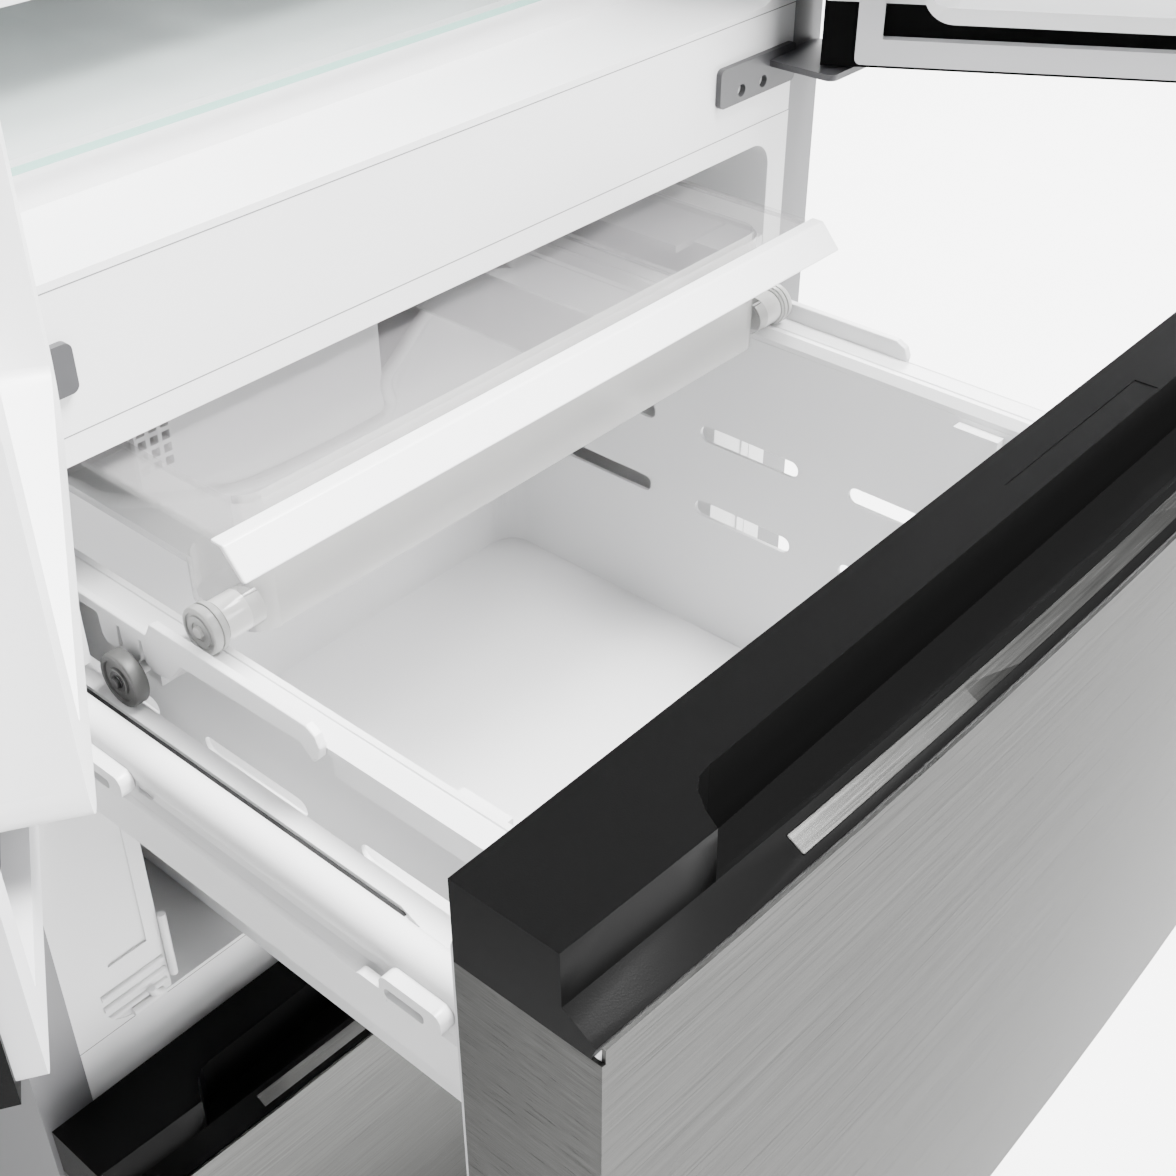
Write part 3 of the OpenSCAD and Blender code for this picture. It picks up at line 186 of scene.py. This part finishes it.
# Brush marks per metre along the strokes, through the sheet and across the strokes
BRUSH = (14.0, 60.0, 2000.0)
WIDE_BRUSH = tuple(value * 0.2 for value in BRUSH)
WIDE_SHARE = 0.15
BRUSH_DEPTH = 0.00005
BRUSH_STRENGTH = 0.5
# The noise hardly leaves the band that starts at this value; the gain spreads it over 0 to 1
TONE_START = 0.32
TONE_GAIN = 2.8
# How much the roughness changes from the darkest to the lightest mark
ROUGH_SPAN = 0.2
# Keeps the steel's slanting reflections down
STEEL_TINT = (0.45, 0.45, 0.45)


def brushed(name, colour, turn=0.0, rough=0.3, contrast=0.38):
    """Steel brushed along the width of a front that is turned about Z."""
    finish = Finish(name, Metallic=1.0, Specular_Tint=STEEL_TINT)
    fine = finish.noise(1.0, 5.0, 0.7, scale=BRUSH, turn=(0, 0, turn))
    wide = finish.noise(1.0, scale=WIDE_BRUSH, turn=(0, 0, turn))
    tone = fine * (1.0 - WIDE_SHARE) + wide * WIDE_SHARE
    dark = tuple(channel * (1.0 - contrast) for channel in colour)
    light = tuple(channel * (1.0 + contrast) for channel in colour)
    finish.set(
        Base_Color=finish.mix((tone - TONE_START) * TONE_GAIN, dark, light),
        Roughness=tone * ROUGH_SPAN + (rough - ROUGH_SPAN / 2),
    )
    finish.bump(fine, BRUSH_DEPTH, BRUSH_STRENGTH)
    return finish


DOOR_TURN = math.radians(122.0)
WHITE = (0.7, 0.7, 0.703)
STEEL = (0.085, 0.085, 0.083)
BLACK = (0.0026, 0.0026, 0.0026)
# The grain that the white mouldings share
SMOOTH_WHITE = {"grain": 0.00001, "grain_size": 700.0, "shift": 0.01}
FINISHES = {
    "grey_sheet": plain("grey_sheet", (0.15, 0.15, 0.155), 0.45, grain=0.00002),
    "foam": plain("foam", (0.8, 0.7, 0.45), 0.9, grain=0.0002, grain_size=400.0),
    "white_liner": plain("white_liner", WHITE, 0.34, **SMOOTH_WHITE),
    "dark_metal": plain("dark_metal", (0.06, 0.06, 0.065), 0.5),
    "compressor_black": plain("compressor_black", (0.02, 0.02, 0.02), 0.35),
    "dark_plastic": plain("dark_plastic", (0.05, 0.05, 0.053), 0.45, grain=0.00003),
    "joint_grey": plain("joint_grey", (0.13, 0.13, 0.13), 0.6),
    "hub_black": plain("hub_black", (0.012, 0.012, 0.012), 0.4),
    "aluminium_fins": plain("aluminium_fins", (0.75, 0.76, 0.78), 0.3, Metallic=1.0),
    "white_plastic": plain("white_plastic", WHITE, 0.32, **SMOOTH_WHITE),
    "roller_grey": plain("roller_grey", (0.4, 0.4, 0.39), 0.35),
    "wheel_grey": plain("wheel_grey", (0.07, 0.07, 0.068), 0.45),
    "black_plastic": plain(
        "black_plastic", BLACK, 0.3, grain=0.00003, grain_size=1800.0, Specular_IOR_Level=0.03
    ),
    "seal_grey": plain("seal_grey", (0.5, 0.5, 0.51), 0.6),
    "zinc_steel": plain("zinc_steel", (0.55, 0.56, 0.58), 0.4, Metallic=0.9),
    "brushed_steel": brushed("brushed_steel", STEEL),
    "door_steel_left": brushed("door_steel_left", STEEL, DOOR_TURN),
    "door_steel_right": brushed("door_steel_right", STEEL, -DOOR_TURN),
    "plate_steel": brushed("plate_steel", STEEL, rough=0.25, contrast=0.12),
    "clear_plastic": Finish("clear_plastic", Base_Color=(0.86, 0.87, 0.88), Roughness=0.16),
    "tray_plastic": Finish("tray_plastic", Roughness=0.14),
    "smoked_plastic": Finish(
        "smoked_plastic", Base_Color=(0.3, 0.29, 0.3), Roughness=0.05, Alpha=0.13
    ),
    "shelf_glass": Finish("shelf_glass", Roughness=0.03),
}
# A face whose normal has a component past this value looks along that axis
LOOKS_ALONG = 0.7

# Crispers and door bins: floors a little clearer than walls
clear = FINISHES["clear_plastic"]
clear.set(Alpha=0.5 - clear.facing(2).unsigned().above(LOOKS_ALONG) * 0.15)

# Tray body: hubs solid, front wall hazy, sides half clear with painted shade that makes them
# darker, the rest nearly clear
HUBS_OUTSIDE_X = 0.209
HUBS_UNDER_Z = 0.812
FRONT_WALL_UNTIL_Y = -0.1
tray = FINISHES["tray_plastic"]
outside = tray.axis(0).unsigned().above(HUBS_OUTSIDE_X, 0.0004)
hubs = outside * (1.0 - tray.axis(2).above(HUBS_UNDER_Z, 0.001))
sides = tray.facing(0).unsigned().above(LOOKS_ALONG)
# The front wall leans, so its normal may have a smaller component
front_wall = tray.facing(1).unsigned().above(0.5)
front_wall = front_wall * (1.0 - tray.axis(1).above(FRONT_WALL_UNTIL_Y, 0.005))
# The darker grey of the side walls is painted shade, the same on both sides
tray.set(
    Base_Color=tray.mix(sides * (1.0 - hubs), (0.66, 0.655, 0.64), (0.42, 0.42, 0.42)),
    Alpha=(front_wall * 0.58 + sides * 0.3 + 0.1).math("MAXIMUM", hubs),
)

# Glass plates: clear from above, green and dense at the edges
glass = FINISHES["shelf_glass"]
flat_side = glass.facing(2).unsigned().above(LOOKS_ALONG)
glass.set(
    Base_Color=glass.mix(flat_side, (0.2, 0.42, 0.35), (0.5, 0.56, 0.545)),
    Alpha=0.85 - flat_side * 0.55,
)

# CAD nodes with a finish of their own instead of their slot's
OWN_FINISH = {
    "left_door_panel": "door_steel_left",
    "right_door_panel": "door_steel_right",
    "upper_front_plate": "plate_steel",
    "lower_front_plate": "plate_steel",
    "tray_body": "tray_plastic",
}
for name, node in NODES.items():
    chosen = FINISHES[OWN_FINISH.get(name, SLOT_OF[name])].material
    node.data.materials.clear()
    node.data.materials.append(chosen)


def soften(node, width, segments):
    """Rounds the sharp edges of a CAD node, which stays as it is beneath."""
    weld = node.modifiers.new("joined", "WELD")
    weld.merge_threshold = 0.00001
    rounded = node.modifiers.new("rounded", "BEVEL")
    rounded.width = width * MM
    rounded.segments = segments
    rounded.limit_method = "ANGLE"
    rounded.angle_limit = math.radians(35.0)
    rounded.harden_normals = False


# Edge radii of the CAD nodes in mm
EDGES = {
    1.6: ("upper_front_cap", "lower_front_cap", "left_door_cap", "right_door_cap"),
    1.2: ("tray_lid", "tray_flange", "rail_towers", "centre_flap"),
    0.8: (
        "upper_basket", "lower_basket", "tray_body", "upper_rail_covers", "lower_rail_covers",
        "basket_flanges", "door_hinges", "shelf_trims", "left_door_bins", "right_door_bins",
        "crisper_left", "crisper_right", "power_inlet",
    ),
    0.4: ("glass_shelves", "mullion_covers", "upper_front_plate", "lower_front_plate"),
    3.0: ("upper_front_liner", "lower_front_liner", "left_door_liner", "right_door_liner"),
}
for width, names in EDGES.items():
    for name in names:
        soften(NODES[name], width, 3 if width > 1.0 else 2)


# Fine pieces
def corners_of(name):
    """The corners of the box around a CAD node."""
    return [NODES[name].matrix_world @ Vector(corner) for corner in NODES[name].bound_box]


def block(bm, size, middle):
    made = bmesh.ops.create_cube(bm, size=1.0)["verts"]
    bmesh.ops.scale(bm, verts=made, vec=size)
    bmesh.ops.translate(bm, verts=made, vec=middle)


def piece(name, bm, body, slot, finish, *replaced):
    """An object of its own from the mesh, on a body, with the nodes it replaces; the slot
    argument is not used.
    """
    bmesh.ops.remove_doubles(bm, verts=bm.verts, dist=0.000001)
    bmesh.ops.recalc_face_normals(bm, faces=bm.faces)
    mesh = bpy.data.meshes.new(name)
    bm.to_mesh(mesh)
    bm.free()
    made = bpy.data.objects.new(name, mesh)
    bpy.context.collection.objects.link(made)
    mesh.materials.append(FINISHES[finish].material)
    for face in mesh.polygons:
        face.use_smooth = True
    mesh.set_sharp_from_angle(angle=math.radians(30.0))
    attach(made, body)
    if replaced:
        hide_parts(*replaced)


TURN_STEPS = 64


def turned(bm, profile, centre, side):
    """One solid turned about X from (distance along the axis, radius) points in mm."""
    angles = [math.tau * step / TURN_STEPS for step in range(TURN_STEPS)]
    rings = []
    for x, r in profile:
        # A point on the axis is one pole that all steps share
        spots = [
            bm.verts.new((
                centre[0] + side * x * MM,
                centre[1] - r * MM * math.sin(angle),
                centre[2] + r * MM * math.cos(angle),
            ))
            for angle in (angles if r else angles[:1])
        ]
        rings.append(spots if r else spots * TURN_STEPS)
    for ring, after in zip(rings, rings[1:] + rings[:1]):
        for step in range(TURN_STEPS):
            turn = (step + 1) % TURN_STEPS
            corners = dict.fromkeys((ring[step], ring[turn], after[turn], after[step]))
            if len(corners) > 2:
                bm.faces.new(tuple(corners))


def both_ends(profile, node, half_w):
    """A turned piece at each end of a CAD node that has one on the left and one on the right."""
    corners = corners_of(node)
    spot = sum(corners, Vector()) / 8.0
    reach = max(corner.x for corner in corners) - half_w * MM
    bm = bmesh.new()
    for side in (-1, 1):
        turned(bm, profile, (side * reach, spot.y, spot.z), side)
    return bm


# Half widths of the CAD's tray rollers and basket wheels in mm
ROLLER_HALF_W = 5.0
WHEEL_HALF_W = 4.5
ROLLER = (
    (-5, 3.3), (-5, 11.3), (-4.6, 11.8), (-3.8, 11.8), (-3.4, 12.2), (-3.3, 13), (-0.7, 13),
    (-0.5, 12.0), (0.5, 12.0), (0.7, 13), (3.6, 13), (4.5, 12.6), (5, 11.8), (5, 10.4),
    (4.1, 10.1), (4.1, 8.6), (4.9, 8.3), (4.9, 5.2), (4.3, 4.9), (4.3, 3.3),
)
WHEEL = (
    (-4.5, 5.8), (-4.5, 13.6), (-3.6, 14.8), (-3.0, 15), (3.0, 15), (3.8, 14.7), (4.4, 13.8),
    (4.4, 11.6), (3.2, 11.2), (3.2, 7.6), (4.4, 7.2), (4.4, 5.8),
)
HUB = ((-4.5, 3.4), (-4.5, 5.8), (4.2, 5.8), (4.5, 5.4), (4.5, 3.4))
PIN = ((4.7, 0), (4.7, 3.3), (6.4, 3.3), (6.7, 2.9), (6.7, 0))
for name, profile, node, half_w, body, finish in (
    ("tray_roller_rings", ROLLER, "tray_rollers", ROLLER_HALF_W, "tray_rollers", "roller_grey"),
    ("basket_wheel_tyres", WHEEL, "upper_wheels", WHEEL_HALF_W, "basket_wheels", "wheel_grey"),
    ("basket_wheel_hubs", HUB, "upper_wheels", WHEEL_HALF_W, "basket_wheels", "hub_black"),
):
    piece(name, both_ends(profile, node, half_w), body, SLOT_OF[node], finish, node)
pins = both_ends(PIN, "upper_wheels", WHEEL_HALF_W)
piece("basket_wheel_pins", pins, "upper_drawer", "dark_plastic", "hub_black")


# Dark strips of painted shade at the bottom of the grooves between the wheels' ledges and the
# covers' ridges, in mm: half distance between the two, size, start behind the covers' front,
# drop below their top
STRIP_X = 263.5
STRIP_W = 8.2
STRIP_T = 0.4
STRIP_START = 128.0
STRIP_DROP = 18.5


def groove_shade_strips(node, body, length):
    corners = corners_of(node)
    start = min(corner.y for corner in corners) + STRIP_START * MM
    level = max(corner.z for corner in corners) - STRIP_DROP * MM
    bm = bmesh.new()
    for side in (-1, 1):
        middle = (side * STRIP_X * MM, start + length * MM / 2, level + STRIP_T * MM / 2)
        block(bm, (STRIP_W * MM, length * MM, STRIP_T * MM), middle)
    # The black strips are painted shade in the grooves, not parts of the covers
    piece(node + "_shade_strips", bm, body, "dark_plastic", "hub_black")


groove_shade_strips("upper_rail_covers", "upper_drawer", 310.0)
groove_shade_strips("lower_rail_covers", "lower_drawer", 200.0)


# Round bead along the lowered back wall of the upper basket: points in mm from the drawer's
# middle and from the basket's rim
BEAD = (
    (-206, -18), (-188, -22), (-170, -26), (-155, -38), (-140, -54), (-110, -70), (-46, -93),
    (8, -98), (82, -98), (93, -95), (98, -87), (95, -77), (96, -67), (107, -58), (140, -32),
    (154, -27), (180, -26), (206, -26),
)
BEAD_RADIUS = 4.8
BEAD_SIDES = 16
# How far the basket's vent panel stands over its rim and behind its back, in mm
PANEL_RISE = 12.0
PANEL_BACK = 4.0
# How far the middle of the wall's thick edge lies before the basket's back, in mm
EDGE_MIDDLE = 1.5


def smooth_path(points, parts=4):
    """Points of a Catmull-Rom curve through the given ones."""
    ends = [Vector(point) for point in (points[0], *points, points[-1])]
    path = []
    for a, b, c, d in zip(ends, ends[1:], ends[2:], ends[3:]):
        for part in range(parts):
            t = part / parts
            path.append(
                (b * 2 + (c - a) * t + (a * 2 - b * 5 + c * 4 - d) * t**2
                 + (b * 3 - a - c * 3 + d) * t**3) / 2
            )
    return [*path, ends[-1]]


def back_bead():
    """A tube along the wall's edge, placed from the basket's own box."""
    corners = corners_of("upper_basket")
    rim = max(corner.z for corner in corners) / MM - PANEL_RISE
    back = max(corner.y for corner in corners) / MM - PANEL_BACK - EDGE_MIDDLE
    path = smooth_path(BEAD)
    last = len(path) - 1
    bm = bmesh.new()
    rings = []
    for index, spot in enumerate(path):
        along = (path[min(index + 1, last)] - path[max(index - 1, 0)]).normalized()
        ring = []
        for step in range(BEAD_SIDES):
            angle = math.tau * step / BEAD_SIDES
            out = BEAD_RADIUS * math.cos(angle)
            x = spot.x - along.y * out
            y = back + BEAD_RADIUS * math.sin(angle)
            z = rim + spot.y + along.x * out
            ring.append(bm.verts.new((x * MM, y * MM, z * MM)))
        rings.append(ring)
    for first, second in zip(rings, rings[1:]):
        for step in range(BEAD_SIDES):
            after = (step + 1) % BEAD_SIDES
            bm.faces.new((first[step], first[after], second[after], second[step]))
    bm.faces.new(rings[0])
    bm.faces.new(rings[-1])
    piece("basket_back_bead", bm, "upper_drawer", SLOT_OF["upper_basket"], "white_plastic")


back_bead()

# Dark joints along the upper and lower edges of the two cross covers, in mm: height, depth,
# how far their middle lies behind the covers' front and outside the edge
JOINT_H = 0.6
JOINT_D = 0.5
JOINT_IN = 0.2
JOINT_OUT = 0.2


def cover_joints():
    covers = NODES["mullion_covers"]
    spots = [covers.matrix_world @ vertex.co for vertex in covers.data.vertices]
    front = min(spot.y for spot in spots)
    half_w = max(spot.x for spot in spots)
    levels = sorted({round(spot.z, 4) for spot in spots})
    bm = bmesh.new()
    for index, level in enumerate(levels):
        outwards = (-JOINT_OUT, JOINT_OUT)[index % 2] * MM
        middle = (0, front + JOINT_IN * MM, level + outwards)
        block(bm, (2 * half_w, JOINT_D * MM, JOINT_H * MM), middle)
    piece("cover_joints", bm, "cabinet", "dark_plastic", "joint_grey")


cover_joints()

# Soft lamps: name, place, the point it shines at, side in metres, power in watts
LAMPS = (
    ("key", (1.0, -1.5, 4.2), (0, -0.2, 0.8), 1.6, 1060.0),
    ("front", (0.5, -3.4, 2.2), (0, 0, 0.8), 2.0, 215.0),
    ("back", (3.0, 1.2, 2.8), (3.0, 1.2, 0), 1.5, 420.0),
)
FLOOR_HALF = 30.0
# A hair below the feet
FLOOR_LEVEL = -0.0005
SKY_STRENGTH = 0.5


def studio():
    """Pale floor, even white surroundings and soft lamps."""
    bm = bmesh.new()
    bmesh.ops.create_grid(bm, x_segments=1, y_segments=1, size=FLOOR_HALF)
    mesh = bpy.data.meshes.new("studio_floor")
    bm.to_mesh(mesh)
    bm.free()
    floor = bpy.data.objects.new("studio_floor", mesh)
    bpy.context.collection.objects.link(floor)
    floor.location.z = FLOOR_LEVEL
    floor.data.materials.append(plain("floor_paper", (0.9, 0.9, 0.9), 0.8).material)
    world = bpy.data.worlds.new("studio")
    bpy.context.scene.world = world
    world.use_nodes = True
    sky = world.node_tree.nodes["Background"]
    sky.inputs["Color"].default_value = (1, 1, 1, 1)
    sky.inputs["Strength"].default_value = SKY_STRENGTH
    for name, place, target, size, power in LAMPS:
        light = bpy.data.lights.new(name, "AREA")
        light.size = size
        light.energy = power
        lamp = bpy.data.objects.new(name, light)
        lamp.location = place
        ray = Vector(target) - Vector(place)
        lamp.rotation_euler = ray.to_track_quat("-Z", "Y").to_euler()
        bpy.context.collection.objects.link(lamp)


# The photo's camera, solved from its vanishing points: place in metres and directions
CAMERA_PLACE = (-0.5767, -0.69304, 1.2525)
CAMERA_RIGHT = (0.6566, -0.7542, -0.0006)
CAMERA_UP = (0.4434, 0.3853, 0.8093)
FOCAL_LENGTH = 50.151
SENSOR_WIDTH = 36.0


def camera():
    lens = bpy.data.cameras.new("photo_camera")
    lens.lens = FOCAL_LENGTH
    lens.sensor_width = SENSOR_WIDTH
    lens.clip_start = 0.01
    made = bpy.data.objects.new("photo_camera", lens)
    right = Vector(CAMERA_RIGHT)
    up = Vector(CAMERA_UP)
    turn = Matrix((right, up, right.cross(up))).transposed()
    made.matrix_world = Matrix.Translation(CAMERA_PLACE) @ turn.to_4x4()
    bpy.context.collection.objects.link(made)
    bpy.context.scene.camera = made


studio()
camera()
